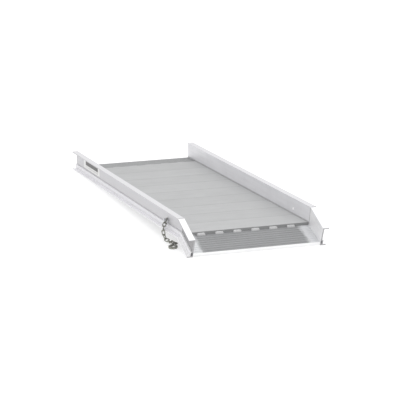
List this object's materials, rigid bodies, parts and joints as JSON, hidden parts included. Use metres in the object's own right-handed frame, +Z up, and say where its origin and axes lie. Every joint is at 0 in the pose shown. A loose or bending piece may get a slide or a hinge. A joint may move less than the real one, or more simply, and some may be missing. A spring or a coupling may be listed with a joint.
{
  "type": "loading ramp",
  "caption": "One-piece aluminium loading ramp with flanged side rails, a bent-down ribbed apron at one end, and a safety chain with a latched hook.",
  "frame": {"origin": "bottom centre of the ramp where it stands on its two ends, measured without the chain and hook", "axes": "+X across the ramp to its right, seen from the apron; +Y along the ramp from the apron to the far end; +Z up"},
  "size_m": [0.8121, 2.1876, 0.1776],
  "materials": {
    "rail_aluminium": "mill aluminium, drawn along its length, light satin",
    "deck_aluminium": "mill aluminium plank, satin, faint lengthwise grain",
    "ribbed_aluminium": "ribbed grip plate, darker satin",
    "nose_aluminium": "flat bar, bright satin",
    "weld_aluminium": "rippled weld bead, satin",
    "label_white": "vinyl label, semi-gloss, blank apart from plain bars",
    "bright_steel": "bright zinc plate",
    "chain_steel": "olive zinc plate, slightly dull",
    "hook_steel": "forged and olive zinc plated",
    "latch_steel": "pressed sheet, zinc plated"
  },
  "bodies": {
    "ramp": {"left_main_rail": "rail_aluminium", "left_apron_rail": "rail_aluminium", "right_main_rail": "rail_aluminium", "right_apron_rail": "rail_aluminium", "deck_plank_1": "deck_aluminium", "deck_plank_2": "deck_aluminium", "deck_plank_3": "deck_aluminium", "deck_plank_4": "deck_aluminium", "deck_plank_5": "deck_aluminium", "deck_plank_6": "deck_aluminium", "deck_plank_7": "deck_aluminium", "deck_plank_8": "deck_aluminium", "deck_plank_9": "deck_aluminium", "end_strip": "ribbed_aluminium", "apron_plate": "ribbed_aluminium", "nose_bar": "nose_aluminium", "kink_backing_bar": "deck_aluminium", "apron_stitch_welds": "weld_aluminium", "end_stitch_welds": "weld_aluminium", "left_deck_weld": "weld_aluminium", "right_deck_weld": "weld_aluminium", "left_mitre_welds": "weld_aluminium", "right_mitre_welds": "weld_aluminium", "nose_weld": "weld_aluminium", "blank_label": "label_white", "chain_bolt": "bright_steel", "chain_spacer": "bright_steel", "chain_outer_washer": "bright_steel", "chain_inner_washer": "bright_steel", "chain_lock_nut": "bright_steel"},
    "link_1": {"chain_link_1": "chain_steel"},
    "link_2": {"chain_link_2": "chain_steel"},
    "link_3": {"chain_link_3": "chain_steel"},
    "link_4": {"chain_link_4": "chain_steel"},
    "link_5": {"chain_link_5": "chain_steel"},
    "link_6": {"chain_link_6": "chain_steel"},
    "link_7": {"chain_link_7": "chain_steel"},
    "link_8": {"chain_link_8": "chain_steel"},
    "link_9": {"chain_link_9": "chain_steel"},
    "hook": {"hook_body": "hook_steel", "latch_rivet": "latch_steel", "latch_spring": "latch_steel"},
    "latch": {"hook_latch": "latch_steel"}
  },
  "joints": [
    {"name": "link_1_swing", "type": "hinge", "parent": "ramp", "child": "link_1", "pos_m": [-0.372, -0.66919, 0.10964], "axis": [1, 0, 0], "range_deg": [0, 8]},
    {"name": "link_2_swing", "type": "hinge", "parent": "link_1", "child": "link_2", "pos_m": [-0.38047, -0.66919, 0.08911], "axis": [0, 1, 0], "range_deg": [0, 15]},
    {"name": "link_3_swing", "type": "hinge", "parent": "link_2", "child": "link_3", "pos_m": [-0.39157, -0.68559, 0.08202], "axis": [0.3644, 0.837, -0.4082], "range_deg": [0, 60]},
    {"name": "link_4_swing", "type": "hinge", "parent": "link_3", "child": "link_4", "pos_m": [-0.399, -0.69294, 0.0603], "axis": [-0.7544, 0.633, -0.1736], "range_deg": [0, 10]},
    {"name": "link_5_swing", "type": "hinge", "parent": "link_4", "child": "link_5", "pos_m": [-0.39501, -0.69629, 0.03076], "axis": [-0.7544, 0.633, -0.1736], "range_deg": [0, 10]},
    {"name": "link_6_swing", "type": "hinge", "parent": "link_5", "child": "link_6", "pos_m": [-0.39396, -0.70786, 0.01434], "axis": [-0.5679, -0.1636, -0.8067], "range_deg": [0, 50]},
    {"name": "link_7_swing", "type": "hinge", "parent": "link_6", "child": "link_7", "pos_m": [-0.37919, -0.73345, 0.00913], "axis": [-0.5679, -0.1636, -0.8067], "range_deg": [0, 50]},
    {"name": "link_8_swing", "type": "hinge", "parent": "link_7", "child": "link_8", "pos_m": [-0.38066, -0.75168, 0.00737], "axis": [-0.8515, -0.2044, -0.483], "range_deg": [0, 40]},
    {"name": "link_9_swing", "type": "hinge", "parent": "link_8", "child": "link_9", "pos_m": [-0.37814, -0.78054, 0.01514], "axis": [-0.8515, -0.2044, -0.483], "range_deg": [0, 50]},
    {"name": "hook_swing", "type": "hinge", "parent": "link_9", "child": "hook", "pos_m": [-0.36765, -0.80178, 0.0111], "axis": [-0.1637, -0.2614, 0.9513], "range_deg": [0, 40]},
    {"name": "latch_swing", "type": "hinge", "parent": "hook", "child": "latch", "pos_m": [-0.37706, -0.8241, 0.01062], "axis": [0.0436, 0.0755, -0.9962], "range_deg": [0, 25], "stiffness_Nm_per_rad": 0.02, "springref_deg": -17.19}
  ]
}
